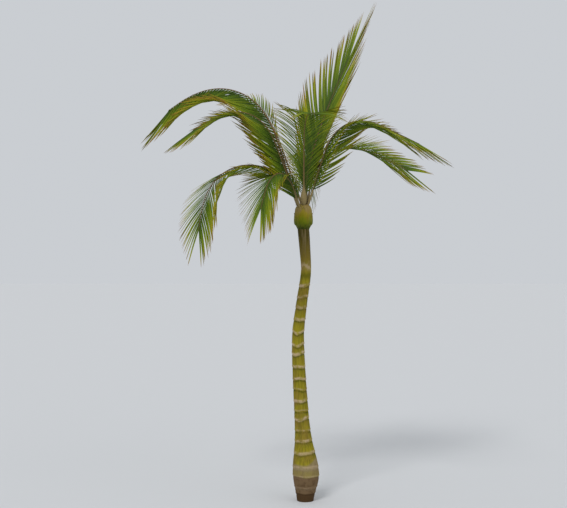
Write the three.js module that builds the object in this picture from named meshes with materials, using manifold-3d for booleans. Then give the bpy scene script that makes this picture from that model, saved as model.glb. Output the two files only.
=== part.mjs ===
// A coconut palm: a ringed trunk on a flat cut at ground level, the green swelling of the
// leaf sheaths on top of it, and ten arching fronds. Millimetres, +Z up. The origin is in the
// middle of the flat cut. -Y is the side seen in front, +X is to its right. A frond that arches
// over is in two pieces, cut in the middle of its bend.
import * as THREE from "three";
import { mergeVertices } from "three/addons/utils/BufferGeometryUtils.js";
import Module from "manifold-3d";

const wasm = await Module();
wasm.setup();

const DEG = Math.PI / 180;
const GAP = 0.3;

// Trunk
const TRUNK_HEIGHT = 5420;
const TRUNK_SIDES = 20;
const STEM_LOW_RADIUS = 145;
const STEM_LOW_Z = 1500;
const STEM_NECK_RADIUS = 101;
const STEM_NECK_Z = 4600;
const STEM_TOP_RADIUS = 116;
const BOLE_RADIUS = 262;
const BOLE_Z = 545;
const BOLE_SPREAD_UP = 560;
const BOLE_SPREAD_DOWN = 410;
const RING_STEP = 5;
const RING_HALF_HEIGHT = 24;
// Heights of the leaf scars, uneven as they grew
const SCARS = [550, 740, 970, 1210, 1430, 1670, 1850, 2000, 2250, 2450, 2690, 2970, 3130, 3390,
  3630, 3890, 4070, 4310, 4670];
const CROWN_X = -38;
// The trunk's axis sways a little: height and sideways offset of each bend
const SWAY = [
  { z: 0, x: 0 },
  { z: 550, x: 12 },
  { z: 1700, x: -74 },
  { z: 3250, x: -145 },
  { z: 3900, x: -78 },
  { z: 4560, x: 12 },
  { z: 5000, x: -6 },
  { z: TRUNK_HEIGHT, x: CROWN_X },
];

// Crownshaft: the swelling of the sheaths. Rounded scales lie under pointed ones, whose tips
// stand out by TIP_LIFT
const SHAFT_FOOT_Z = TRUNK_HEIGHT + GAP;
const SHAFT_HEIGHT = 520;
const SHAFT_RADIUS = 172;
const SHAFT_SIDES = 24;
const DOME_FOOT = 330;
const DOME_POWER = 2.6;
const TIP_LIFT = 11;
const SCALES = [
  { name: "front left", azimuth: -130, halfWidth: 34, foot: 90, shoulder: 320, top: 480, rise: 8 },
  { name: "front right", azimuth: -60, halfWidth: 34, foot: 90, shoulder: 340, top: 505, rise: 8 },
  { name: "back right", azimuth: 42, halfWidth: 34, foot: 80, shoulder: 320, top: 480, rise: 8 },
  { name: "back left", azimuth: 132, halfWidth: 34, foot: 80, shoulder: 330, top: 490, rise: 8 },
  { name: "front", azimuth: -90, halfWidth: 50, foot: 40, shoulder: 265, top: 422, rise: 15, pointed: true },
  { name: "right", azimuth: -4, halfWidth: 30, foot: 60, shoulder: 190, top: 325, rise: 17, pointed: true },
  { name: "back", azimuth: 90, halfWidth: 48, foot: 40, shoulder: 260, top: 415, rise: 15, pointed: true },
  { name: "left", azimuth: -178, halfWidth: 30, foot: 60, shoulder: 190, top: 325, rise: 17, pointed: true },
];

// Fronds
const RIB_STEPS = 60;
const SEAT_DEPTH = 42;
const RIB_PETIOLE_WIDTH = 44;
const RIB_END_WIDTH = 9;
const RIB_HEIGHT_SHARE = 0.82;
const PETIOLE_SHARE = 0.1;
const SHEATH_FOOT = 0.12;
const SHEATH_WIDEST = 160;
const SHEATH_FULL = 190;
const SHEATH_END = 420;
const FOOT_RUNS = [0, 60, 130, 200, 290, 400];
const LEAF_PAIRS = 27;
const LAST_SPLIT_SHARE = 0.6;
const LEAF_ROOT_WIDTH = 34;
const LEAF_MIDDLE_WIDTH = 40;
const LEAF_THICKNESS = 10.5;
const LEAF_THICKNESS_SHARE = 0.0102;
const LEAF_STEPS = 8;
const LEAF_LAST_SHARE = 0.8;
const LEAF_SWEEP = 0.45;
const LEAF_CLEARANCE = 6;
const FRONDS = [
  { name: "frond_upright", whole: true, seatAzimuth: 70, seatRadius: 18, sheath: 62, heading: 62,
    drift: -26, rise: 97, end: 61, bendFrom: -0.6, bendTo: 0.62, length: 3450, leaf: 1800, leafStart: 0.34,
    vee: 8, veeEnd: -4, veeRight: 14, veeRightEnd: 27, droop: 0, droopEnd: 0,
    angle: 29, angleEnd: 12, anglePower: 3.4 },
  { name: "frond_front", seatAzimuth: -88, seatRadius: 108, sheath: 130, heading: -76,
    drift: 0, rise: 89, end: -12, bendFrom: 0.52, bendTo: 0.92, length: 2450, leaf: 940, leafStart: 0.3,
    vee: -14, veeEnd: 4, veeRight: -14, veeRightEnd: 4, droop: 0.42, droopEnd: 0.55,
    angle: 46, angleEnd: 66, anglePower: 1.3 },
  { name: "frond_right", seatAzimuth: -38, seatRadius: 104, sheath: 60, heading: -32,
    drift: 20, rise: 70, end: -27, bendFrom: 0.3, bendTo: 0.8, length: 3400, leaf: 1050, leafStart: 0.42,
    vee: -55, veeEnd: -28, veeRight: -50, veeRightEnd: -15, droop: 0.06, droopEnd: 0.06,
    angle: 52, angleEnd: 16, anglePower: 2 },
  { name: "frond_back_right", seatAzimuth: 12, seatRadius: 100, sheath: 56, heading: 30,
    drift: 0, rise: 94, end: -20, bendFrom: -0.1, bendTo: 0.8, length: 3300, leaf: 1100, leafStart: 0.42,
    vee: -20, veeEnd: 62, veeRight: 6, veeRightEnd: -52, droop: 0.08, droopEnd: 0.06,
    angle: 52, angleEnd: 22, anglePower: 1.5 },
  { name: "frond_back", seatAzimuth: 58, seatRadius: 100, sheath: 56, heading: 84,
    drift: 6, rise: 66, end: -46, bendFrom: 0.1, bendTo: 0.95, length: 3400, leaf: 960, leafStart: 0.42,
    vee: -30, veeEnd: -50, veeRight: -30, veeRightEnd: -50, droop: 0.3, droopEnd: 0.4,
    angle: 52, angleEnd: 18, anglePower: 2 },
  { name: "frond_back_left", seatAzimuth: 96, seatRadius: 104, sheath: 56, heading: 136,
    drift: -12, rise: 64, end: -6, bendFrom: 0.3, bendTo: 1.3, length: 3300, leaf: 1000, leafStart: 0.42,
    vee: -40, veeEnd: -20, veeRight: -80, veeRightEnd: 25, droop: 0.1, droopEnd: 0.25,
    angle: 52, angleEnd: 22, anglePower: 1.6 },
  { name: "frond_left", seatAzimuth: 165, seatRadius: 100, sheath: 58, heading: 174,
    drift: 0, rise: 72, end: -35, bendFrom: 0.3, bendTo: 1, length: 4250, leaf: 1290, leafStart: 0.42,
    vee: -60, veeEnd: -82, veeRight: -60, veeRightEnd: -25, droop: 0.04, droopEnd: 0.02,
    angle: 54, angleEnd: 22, anglePower: 1.8 },
  { name: "frond_front_left", seatAzimuth: -158, seatRadius: 100, sheath: 56, heading: -168,
    drift: 0, rise: 69, end: -32, bendFrom: 0.36, bendTo: 0.92, length: 3350, leaf: 1000, leafStart: 0.42,
    vee: -60, veeEnd: -45, veeRight: -60, veeRightEnd: -20, droop: 0.12, droopEnd: 0.1,
    angle: 52, angleEnd: 14, anglePower: 1.6 },
  { name: "frond_low_left", seatAzimuth: 134, seatRadius: 142, sheath: 56, heading: 148,
    drift: 85, rise: 78, end: -80, bendFrom: -0.12, bendTo: 1, length: 3350, leaf: 1000, leafStart: 0.6,
    vee: -10, veeEnd: -50, veeRight: -30, veeRightEnd: 15, droop: 0.2, droopEnd: 0.15,
    angle: 58, angleEnd: 12, anglePower: 3 },
  { name: "frond_low_front", seatAzimuth: -123, seatRadius: 144, sheath: 56, heading: -128,
    drift: 6, rise: 66, end: -66, bendFrom: 0.08, bendTo: 0.9, length: 2000, leaf: 980, leafStart: 0.5,
    vee: -30, veeEnd: -15, veeRight: -30, veeRightEnd: -15, droop: 0.4, droopEnd: 0.3,
    angle: 48, angleEnd: 14, anglePower: 2.5 },
];

const BARK = new THREE.MeshStandardMaterial({ color: "#6f6527", roughness: 0.9, metalness: 0 });
const SHEATH = new THREE.MeshStandardMaterial({ color: "#6a6b1c", roughness: 0.7, metalness: 0 });

// Each frond has a material of its own
function leafMaterial() {
  return new THREE.MeshStandardMaterial({ color: "#4f6416", roughness: 0.6, metalness: 0 });
}

// Smooth 0 to 1 between a and b
function smooth(a, b, u) {
  const t = Math.min(1, Math.max(0, (u - a) / (b - a)));
  return t * t * (3 - 2 * t);
}

// Value that runs from a to b as t runs from 0 to 1
function mix(a, b, t) {
  return a + (b - a) * t;
}

// Geometry of a closed body from a list of vertices and a list of triangles
function geometryOf(points, triangles) {
  const geometry = new THREE.BufferGeometry();
  const positions = new Float32Array(points.length * 3);
  points.forEach((p, i) => p.toArray(positions, i * 3));
  geometry.setAttribute("position", new THREE.BufferAttribute(positions, 3));
  geometry.setIndex(triangles.flat());
  geometry.computeVertexNormals();
  return geometry;
}

// Solid for joining and cutting
function solidOf(geometry) {
  return new wasm.Manifold(new wasm.Mesh({
    numProp: 3,
    vertProperties: Float32Array.from(geometry.getAttribute("position").array),
    triVerts: Uint32Array.from(geometry.getIndex().array),
  }));
}

// Geometry of a joined or cut solid
function geometryFrom(solid) {
  const mesh = solid.getMesh();
  const geometry = new THREE.BufferGeometry();
  const positions = new Float32Array(mesh.numVert * 3);
  for (let i = 0; i < mesh.numVert; i += 1) {
    for (let k = 0; k < 3; k += 1) {
      positions[i * 3 + k] = mesh.vertProperties[i * mesh.numProp + k];
    }
  }
  geometry.setAttribute("position", new THREE.BufferAttribute(positions, 3));
  geometry.setIndex(Array.from(mesh.triVerts));
  geometry.computeVertexNormals();
  return geometry;
}

// Closed turned body about the Z axis. The profile runs from the axis at the foot to the axis
// at the head, as Vector2(radius, height).
function turned(profile, sides) {
  const lathe = new THREE.LatheGeometry(profile, sides);
  lathe.deleteAttribute("normal");
  lathe.deleteAttribute("uv");
  lathe.rotateX(Math.PI / 2);
  const geometry = mergeVertices(lathe, 1e-3);
  const index = geometry.getIndex().array;
  const kept = [];
  for (let i = 0; i < index.length; i += 3) {
    const [a, b, c] = [index[i], index[i + 1], index[i + 2]];
    if (a !== b && b !== c && c !== a) {
      kept.push(a, b, c);
    }
  }
  geometry.setIndex(kept);
  return geometry;
}

// Half-width of the trunk between its scars
function trunkRadius(z) {
  const stem = z < STEM_NECK_Z
    ? mix(STEM_LOW_RADIUS, STEM_NECK_RADIUS, (z - STEM_LOW_Z) / (STEM_NECK_Z - STEM_LOW_Z))
    : mix(STEM_NECK_RADIUS, STEM_TOP_RADIUS, smooth(STEM_NECK_Z, TRUNK_HEIGHT, z));
  const low = Math.min(stem, STEM_LOW_RADIUS);
  const spread = z > BOLE_Z ? BOLE_SPREAD_UP : BOLE_SPREAD_DOWN;
  return low + (BOLE_RADIUS - low) * Math.exp(-(((z - BOLE_Z) / spread) ** 2));
}

// Sideways offset of the trunk's axis at a height
function swayAt(z) {
  let i = 1;
  while (i < SWAY.length - 1 && SWAY[i].z < z) {
    i += 1;
  }
  const before = SWAY[Math.max(0, i - 2)];
  const from = SWAY[i - 1];
  const to = SWAY[i];
  const after = SWAY[Math.min(SWAY.length - 1, i + 1)];
  const span = to.z - from.z;
  const slopeFrom = i === 1 ? 0 : (to.x - before.x) / (to.z - before.z);
  const slopeTo = i === SWAY.length - 1 ? slopeOf(from, to) : (after.x - from.x) / (after.z - from.z);
  const t = Math.min(1, Math.max(0, (z - from.z) / span));
  const bump = t * (1 - t) * span * (slopeFrom * (1 - t) - slopeTo * t);
  return mix(from.x, to.x, t * t * (3 - 2 * t)) + bump;
}

function slopeOf(from, to) {
  return (to.x - from.x) / (to.z - from.z);
}

function trunkGeometry() {
  const profile = [new THREE.Vector2(0, 0)];
  const level = (z, step) => profile.push(new THREE.Vector2(trunkRadius(z) + step, z));
  [0, 90, 180, 270, 350].forEach((z) => level(z, 0));
  SCARS.forEach((z) => {
    level(z - RING_HALF_HEIGHT, 0);
    level(z + RING_HALF_HEIGHT * 0.4, RING_STEP);
  });
  [TRUNK_HEIGHT - 330, TRUNK_HEIGHT - 120, TRUNK_HEIGHT].forEach((z) => level(z, 0));
  profile.push(new THREE.Vector2(0, TRUNK_HEIGHT));
  const geometry = turned(profile, TRUNK_SIDES);
  const place = geometry.getAttribute("position");
  for (let i = 0; i < place.count; i += 1) {
    place.setZ(i, Math.max(0, place.getZ(i)));
    place.setX(i, place.getX(i) + swayAt(place.getZ(i)));
  }
  geometry.computeVertexNormals();
  return geometry;
}

// Half-width of the crownshaft at a height above its foot
function shaftRadius(h) {
  const swell = mix(STEM_TOP_RADIUS, SHAFT_RADIUS, smooth(-20, 130, h));
  const rise = Math.max(0, (h - DOME_FOOT) / (SHAFT_HEIGHT - DOME_FOOT));
  return swell * Math.sqrt(Math.max(0, 1 - rise ** DOME_POWER));
}

// Height on the dome, above the crownshaft's foot, where it has a given half-width
function domeHeight(radius) {
  const rise = (1 - (radius / SHAFT_RADIUS) ** 2) ** (1 / DOME_POWER);
  return mix(DOME_FOOT, SHAFT_HEIGHT, rise);
}

// Share of a scale's half-width that is left at a height
function scaleBreadth(scale, h) {
  if (h < scale.shoulder) {
    return 1;
  }
  const t = (h - scale.shoulder) / (scale.top - scale.shoulder);
  return Math.max(0.04, scale.pointed ? 1 - t ** 1.15 : Math.sqrt(Math.max(0, 1 - t ** 1.8)));
}

// One scale that lies on the crownshaft, sunk a little into it
function scaleGeometry(scale, grow) {
  const across = 4;
  const up = 5;
  const outer = [];
  const inner = [];
  for (let j = 0; j <= up; j += 1) {
    const t = j / up;
    const h = mix(scale.foot, scale.top, t);
    const breadth = scaleBreadth(scale, h);
    const loose = scale.pointed ? TIP_LIFT * smooth(0.85, 1, t) : 3 * t;
    const belly = Math.sin(Math.PI * Math.min(1, 0.12 + t * 0.8));
    for (let i = 0; i <= across; i += 1) {
      const s = (i / across) * 2 - 1;
      const angle = (scale.azimuth + s * scale.halfWidth * breadth) * DEG;
      const lift = scale.rise * belly * (1 - 0.6 * s * s) + loose + grow;
      const out = shaftRadius(h) + lift;
      const sunk = Math.max(20, shaftRadius(h) - 26);
      const z = SHAFT_FOOT_Z + h;
      outer.push(new THREE.Vector3(CROWN_X + out * Math.cos(angle), out * Math.sin(angle), z + grow));
      inner.push(new THREE.Vector3(CROWN_X + sunk * Math.cos(angle), sunk * Math.sin(angle), z - 8));
    }
  }
  const row = across + 1;
  const offset = outer.length;
  const triangles = [];
  for (let j = 0; j < up; j += 1) {
    for (let i = 0; i < across; i += 1) {
      const a = j * row + i;
      triangles.push([a, a + 1, a + row + 1], [a, a + row + 1, a + row]);
      const b = offset + a;
      triangles.push([b, b + row + 1, b + 1], [b, b + row, b + row + 1]);
    }
  }
  const edge = [];
  for (let i = 0; i < across; i += 1) edge.push([i, i + 1]);
  for (let j = 0; j < up; j += 1) edge.push([j * row + across, (j + 1) * row + across]);
  for (let i = across; i > 0; i -= 1) edge.push([up * row + i, up * row + i - 1]);
  for (let j = up; j > 0; j -= 1) edge.push([j * row, (j - 1) * row]);
  edge.forEach(([a, b]) => triangles.push([a, offset + a, offset + b], [a, offset + b, b]));
  return geometryOf(outer.concat(inner), triangles);
}

// The crownshaft, or the same shape a little larger all round for cutting the frond feet
function shaftSolid(grow) {
  const heights = [0, 40, 80, 130, 240, DOME_FOOT, 400, 445, 480, 503];
  const profile = [new THREE.Vector2(0, -grow)];
  heights.forEach((h) => {
    const lift = h > DOME_FOOT ? grow : 0;
    profile.push(new THREE.Vector2(shaftRadius(h) + grow, h + (h === 0 ? -grow : lift)));
  });
  profile.push(new THREE.Vector2(0, SHAFT_HEIGHT + grow));
  const bulb = turned(profile, SHAFT_SIDES);
  bulb.translate(CROWN_X, 0, SHAFT_FOOT_Z);
  let solid = solidOf(bulb);
  SCALES.forEach((scale) => {
    solid = solid.add(solidOf(scaleGeometry(scale, grow)));
  });
  return solid;
}

// The rib's centre line with its frame: along, left and up (towards the frond's upper face)
function ribOf(f) {
  const step = f.length / RIB_STEPS;
  const points = [new THREE.Vector3(
    CROWN_X + f.seatRadius * Math.cos(f.seatAzimuth * DEG),
    f.seatRadius * Math.sin(f.seatAzimuth * DEG),
    SHAFT_FOOT_Z + domeHeight(f.seatRadius) - SEAT_DEPTH)];
  const frames = [];
  for (let i = 0; i < RIB_STEPS; i += 1) {
    const u = (i + 0.5) / RIB_STEPS;
    const tilt = mix(f.rise, f.end, smooth(f.bendFrom, f.bendTo, u)) * DEG;
    const heading = (f.heading + f.drift * u) * DEG;
    const along = new THREE.Vector3(
      Math.cos(tilt) * Math.cos(heading), Math.cos(tilt) * Math.sin(heading), Math.sin(tilt));
    const left = new THREE.Vector3(-Math.sin(heading), Math.cos(heading), 0);
    frames.push({ along, left, up: new THREE.Vector3().crossVectors(along, left) });
    points.push(points.at(-1).clone().addScaledVector(along, step));
  }
  return { points, frames };
}

// Place and frame on the rib at a share u of its length
function ribAt(rib, u) {
  const x = Math.min(Math.max(u, 0), 1) * RIB_STEPS;
  const i = Math.min(Math.floor(x), RIB_STEPS - 1);
  const place = rib.points[i].clone().lerp(rib.points[i + 1], x - i);
  const y = Math.min(Math.max(x - 0.5, 0), RIB_STEPS - 1);
  const j = Math.min(Math.floor(y), RIB_STEPS - 2);
  const along = rib.frames[j].along.clone().lerp(rib.frames[j + 1].along, y - j).normalize();
  const left = rib.frames[j].left.clone().lerp(rib.frames[j + 1].left, y - j).normalize();
  const up = new THREE.Vector3().crossVectors(along, left).normalize();
  return { place, along, left, up };
}

// Width of the rib: a sheath that swells above its foot, a stout stalk, a thin end
function ribWidth(f, u) {
  const run = u * f.length;
  const stalk = mix(RIB_PETIOLE_WIDTH, RIB_END_WIDTH, u ** 0.8);
  const swell = mix(SHEATH_FOOT, 1, smooth(-20, SHEATH_WIDEST, run))
    * (1 - smooth(SHEATH_FULL, SHEATH_END, run));
  return stalk + (f.sheath - stalk) * swell;
}

// Thickness of a frond's leaflets, a little over a hundredth of their length
function leafThickness(f) {
  return Math.max(LEAF_THICKNESS, f.leaf * LEAF_THICKNESS_SHARE);
}

// Length of the leaflet that stands at a share w of the leafy stretch
function leafLength(f, w) {
  const start = mix(f.leafStart, 1, smooth(-0.1, 0.35, w));
  const finish = mix(1, LEAF_LAST_SHARE, smooth(0.5, 1.1, w));
  return f.leaf * start * finish;
}

// Root, middle and tip of a leaflet, and the direction across its blade
function leafletOf(f, rib, side, w, share) {
  const u = PETIOLE_SHARE + (1 - PETIOLE_SHARE) * w;
  const { place, along, left, up } = ribAt(rib, u);
  const angle = mix(f.angle, f.angleEnd, w ** f.anglePower) * DEG;
  const [veeStart, veeEnd] = side > 0 ? [f.vee, f.veeEnd] : [f.veeRight, f.veeRightEnd];
  const vee = mix(veeStart, veeEnd, smooth(0.1, 0.85, w)) * DEG;
  const droop = mix(f.droop, f.droopEnd, smooth(0.1, 0.8, w));
  const outward = left.clone().multiplyScalar(side * Math.cos(vee)).addScaledVector(up, Math.sin(vee));
  const start = along.clone().multiplyScalar(Math.cos(angle)).addScaledVector(outward, Math.sin(angle));
  const root = place.clone().addScaledVector(left, side * ribWidth(f, u) / 2);
  const step = leafLength(f, w) * share / LEAF_STEPS;
  const points = [root];
  for (let j = 0; j < LEAF_STEPS; j += 1) {
    const t = (j + 0.5) / LEAF_STEPS;
    const way = start.clone().addScaledVector(along, LEAF_SWEEP * t);
    way.z -= droop * smooth(0.15, 0.9, t);
    points.push(points.at(-1).clone().addScaledVector(way.normalize(), step));
  }
  const middle = points[LEAF_STEPS / 2];
  const tip = points[LEAF_STEPS];
  const run = tip.clone().sub(root).normalize();
  const across = along.clone().addScaledVector(run, -along.dot(run)).normalize();
  const face = new THREE.Vector3().crossVectors(across, run).multiplyScalar(side);
  return { root, middle, tip, across, face };
}

// Shortest distance between the stretches a-b and c-d
function stretchDistance(a, b, c, d) {
  const p = b.clone().sub(a);
  const q = d.clone().sub(c);
  const r = a.clone().sub(c);
  const pp = p.dot(p);
  const qq = q.dot(q);
  const pq = p.dot(q);
  const pr = p.dot(r);
  const qr = q.dot(r);
  const det = pp * qq - pq * pq;
  let s = det > 1e-6 ? Math.min(1, Math.max(0, (pq * qr - qq * pr) / det)) : 0;
  let t = (pq * s + qr) / qq;
  if (t < 0) {
    t = 0;
    s = Math.min(1, Math.max(0, -pr / pp));
  } else if (t > 1) {
    t = 1;
    s = Math.min(1, Math.max(0, (pq - pr) / pp));
  }
  return a.clone().addScaledVector(p, s).distanceTo(c.clone().addScaledVector(q, t));
}

// Chooses the leaflets of all fronds together: those at the frond ends first, so the outline
// is whole, and one that would touch another frond is shortened or left out
function chooseLeaflets(ribs) {
  const taken = [];
  ribs.forEach((rib, n) => {
    for (let i = 0; i < RIB_STEPS; i += 4) {
      taken.push({
        frond: n, a: rib.points[i], b: rib.points[i + 4],
        reach: ribWidth(FRONDS[n], i / RIB_STEPS) / 2,
      });
    }
  });
  const trunk = [];
  for (let z = 0; z < TRUNK_HEIGHT; z += 400) {
    trunk.push({ frond: -1, a: new THREE.Vector3(-60, 0, z), b: new THREE.Vector3(-60, 0, z + 400),
      reach: trunkRadius(z) + 90 });
  }
  taken.push(...trunk);
  taken.push({ frond: -1, a: new THREE.Vector3(CROWN_X, 0, SHAFT_FOOT_Z),
    b: new THREE.Vector3(CROWN_X, 0, SHAFT_FOOT_Z + SHAFT_HEIGHT), reach: SHAFT_RADIUS + 40 });
  const chosen = ribs.map(() => new Map());
  for (let k = LEAF_PAIRS - 1; k >= 0; k -= 1) {
    ribs.forEach((rib, n) => {
      [1, -1].forEach((side) => {
        const w = (k + 0.5) / LEAF_PAIRS;
        const fit = [1, 0.8, 0.6, 0.42].map((share) => leafletOf(FRONDS[n], rib, side, w, share))
          .find((leaf) => isClear(leaf, n, taken));
        if (fit) {
          chosen[n].set(k * side + (side < 0 ? -1 : 0), fit);
          taken.push({ frond: n, a: fit.root, b: fit.middle, reach: LEAF_MIDDLE_WIDTH / 2 });
          taken.push({ frond: n, a: fit.middle, b: fit.tip, reach: LEAF_MIDDLE_WIDTH / 2 });
        }
      });
    });
  }
  return chosen;
}

function isClear(leaf, n, taken) {
  const reach = LEAF_MIDDLE_WIDTH / 2 + LEAF_CLEARANCE;
  return taken.every((other) => {
    if (other.frond === n) {
      return true;
    }
    const need = reach + other.reach;
    return stretchDistance(leaf.root, leaf.middle, other.a, other.b) > need
      && stretchDistance(leaf.middle, leaf.tip, other.a, other.b) > need;
  });
}

// Six corners of the rib's section: top, right band, bottom, left band
function ribRing(f, rib, u) {
  const { place, left, up } = ribAt(rib, u);
  const half = ribWidth(f, u) / 2;
  const band = leafThickness(f) / 2;
  const high = Math.max(half * RIB_HEIGHT_SHARE, band + 1.5);
  const at = (x, y) => place.clone().addScaledVector(left, x).addScaledVector(up, y);
  return [at(0, high), at(-half, band), at(-half, -band), at(0, -high), at(half, -band), at(half, band)];
}

// Share of the rib's length at a number of leaflet pairs from the start of the leafy stretch
function pairShare(pairs) {
  return PETIOLE_SHARE + (1 - PETIOLE_SHARE) * pairs / LEAF_PAIRS;
}

// Number of leaflet pairs before the cut in the middle of the frond's bend
function pairsBeforeBend(f) {
  const middle = Math.min((f.bendFrom + f.bendTo) / 2, LAST_SPLIT_SHARE);
  return Math.round((middle - PETIOLE_SHARE) / (1 - PETIOLE_SHARE) * LEAF_PAIRS);
}

// One closed body: a stretch of the rib, from one leaflet pair up to another, with its leaflets
// grown out of the bands at its sides
function frondGeometry(f, rib, leaves, firstPair, endPair) {
  const halfRoot = LEAF_ROOT_WIDTH / 2 / f.length;
  const halfGap = GAP / 2 / f.length;
  const foot = FOOT_RUNS.map((run) => ({ u: run / f.length })).filter(({ u }) => u < PETIOLE_SHARE);
  const levels = firstPair === 0 ? foot : [{ u: pairShare(firstPair) + halfGap }];
  for (let k = firstPair; k < endPair; k += 1) {
    const u = pairShare(k + 0.5);
    levels.push({ u: u - halfRoot, pair: k }, { u: u + halfRoot });
  }
  levels.push({ u: endPair === LEAF_PAIRS ? 1 : pairShare(endPair) - halfGap });
  const points = [];
  const triangles = [];
  levels.forEach((level) => points.push(...ribRing(f, rib, level.u)));
  const quad = (a, b, c, d) => triangles.push([a, b, c], [a, c, d]);
  for (let i = 0; i + 1 < levels.length; i += 1) {
    const here = i * 6;
    const next = here + 6;
    for (let s = 0; s < 6; s += 1) {
      const t = (s + 1) % 6;
      const side = s === 1 ? -1 : s === 4 ? 1 : 0;
      const pair = levels[i].pair;
      const leaf = side && pair !== undefined
        ? leaves.get(pair * side + (side < 0 ? -1 : 0)) : undefined;
      if (leaf) {
        const root = [here + s, here + t, next + t, next + s];
        growLeaf(points, triangles, root, leaf, side, leafThickness(f) / 2);
      } else {
        quad(here + s, here + t, next + t, next + s);
      }
    }
  }
  const footEnd = points.length;
  points.push(ribAt(rib, levels[0].u).place);
  const headEnd = points.length;
  points.push(ribAt(rib, levels.at(-1).u).place);
  const last = (levels.length - 1) * 6;
  for (let s = 0; s < 6; s += 1) {
    const t = (s + 1) % 6;
    triangles.push([footEnd, t, s], [headEnd, last + s, last + t]);
  }
  return geometryOf(points, triangles);
}

// A leaflet on the root quad [here s, here t, next t, next s]: one middle section, thick to each
// side of its middle plane, and a tip
function growLeaf(points, triangles, root, leaf, side, thick) {
  const first = points.length;
  const wide = LEAF_MIDDLE_WIDTH / 2;
  const corner = (across, face) => leaf.middle.clone()
    .addScaledVector(leaf.across, across * wide).addScaledVector(leaf.face, face * thick);
  const startFace = side > 0 ? -1 : 1;
  points.push(corner(-1, startFace), corner(-1, -startFace), corner(1, -startFace), corner(1, startFace));
  points.push(leaf.tip);
  const tip = first + 4;
  for (let e = 0; e < 4; e += 1) {
    const g = (e + 1) % 4;
    if (e === 1) {
      triangles.push([root[e], root[g], first + e], [root[g], first + g, first + e]);
    } else {
      triangles.push([root[e], root[g], first + g], [root[e], first + g, first + e]);
    }
    triangles.push([first + e, first + g, tip]);
  }
}

const palm = new THREE.Group();

function addPiece(name, geometry, material) {
  const mesh = new THREE.Mesh(geometry, material);
  mesh.name = name;
  palm.add(mesh);
}

addPiece("trunk", trunkGeometry(), BARK);
addPiece("crownshaft", geometryFrom(shaftSolid(0)), SHEATH);

const ribs = FRONDS.map(ribOf);
const leaflets = chooseLeaflets(ribs);
const socket = shaftSolid(GAP);
FRONDS.forEach((f, n) => {
  const split = f.whole ? LEAF_PAIRS : pairsBeforeBend(f);
  const inner = solidOf(frondGeometry(f, ribs[n], leaflets[n], 0, split)).subtract(socket);
  addPiece(f.whole ? f.name : `${f.name}_inner`, geometryFrom(inner), leafMaterial());
  if (!f.whole) {
    const outer = frondGeometry(f, ribs[n], leaflets[n], split, LEAF_PAIRS);
    addPiece(`${f.name}_outer`, outer, leafMaterial());
  }
});

export default palm;
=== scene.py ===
"""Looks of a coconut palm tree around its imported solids.

The trunk gets the relief of its leaf scars and fibres, the swelling on top of it gets its overlapping
leaf sheaths, and each frond gets a shaped stalk and fine folded leaflets. Sizes are in millimetres, as
in the solids, and turn to metres when a mesh is made. -Y is the side that the camera sees.
"""

import bisect
import logging
import random
from dataclasses import dataclass, field, replace
from enum import Enum
from math import atan2, cos, exp, pi, radians, sin, sqrt, tau

import bmesh
import bpy
import numpy as np
from bmesh.types import BMesh
from bpy.types import ID, Material, Mesh, Node, NodeSocket, NodeTree, Object
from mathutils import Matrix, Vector, noise


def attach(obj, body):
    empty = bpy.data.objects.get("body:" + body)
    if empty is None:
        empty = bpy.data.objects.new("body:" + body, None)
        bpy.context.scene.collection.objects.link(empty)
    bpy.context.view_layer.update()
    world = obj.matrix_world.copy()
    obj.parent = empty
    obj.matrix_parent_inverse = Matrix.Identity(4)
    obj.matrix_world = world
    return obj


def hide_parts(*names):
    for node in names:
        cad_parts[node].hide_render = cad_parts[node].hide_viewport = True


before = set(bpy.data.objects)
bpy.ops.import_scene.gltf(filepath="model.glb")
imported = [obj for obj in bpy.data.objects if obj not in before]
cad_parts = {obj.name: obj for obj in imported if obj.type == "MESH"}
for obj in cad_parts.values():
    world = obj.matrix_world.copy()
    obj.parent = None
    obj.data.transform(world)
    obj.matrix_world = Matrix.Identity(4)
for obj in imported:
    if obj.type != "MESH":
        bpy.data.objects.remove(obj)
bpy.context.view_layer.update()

LOG = logging.getLogger("palm")
MM = 0.001
SEED = 4021
BODY = "root"
# Attributes that colour the bark; shade carries the painted shade under the scars.
BARK_ZONES = ("scar", "shade", "tan", "cork", "foot")
PLACE = "ShaderNodeTexCoord"
SPLIT = "ShaderNodeSeparateXYZ"
STRETCH = "ShaderNodeMapping"
MIX = "ShaderNodeMix"
RANGE = "ShaderNodeMapRange"
MATHS = "ShaderNodeMath"
NOISE = "ShaderNodeTexNoise"
BUMP = "ShaderNodeBump"
ATTRIBUTE = "ShaderNodeAttribute"


class Slot(Enum):
    """Material slots of the record, for the bark, the sheaths and the fronds."""

    BARK = "bark"
    SHEATH = "sheath"
    FROND = "frond"


class Side(Enum):
    """The two rows of leaflets of a frond, seen along its rib."""

    LEFT = 1
    RIGHT = -1


class Tip(Enum):
    """Outlines of the sheaths on the swelling."""

    POINTED = "pointed"
    ROUNDED = "rounded"


def ramp(a: float, b: float, u: float) -> float:
    """Runs evenly from 0 at a to 1 at b."""
    return min(1.0, max(0.0, (u - a) / (b - a)))


def smooth(a: float, b: float, u: float) -> float:
    """Runs softly from 0 at a to 1 at b."""
    t = ramp(a, b, u)
    return t * t * (3 - 2 * t)


def mix(a: float, b: float, t: float) -> float:
    """Runs from a to b as t runs from 0 to 1."""
    return a + (b - a) * t


def bump(distance: float, reach: float) -> float:
    """Falls softly from 1 at no distance to nothing a few reaches away."""
    return exp(-((distance / reach) ** 2))


def level(azimuth: float) -> Vector:
    """Level direction, of length 1, at an azimuth in radians."""
    return Vector((cos(azimuth), sin(azimuth), 0.0))


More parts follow.
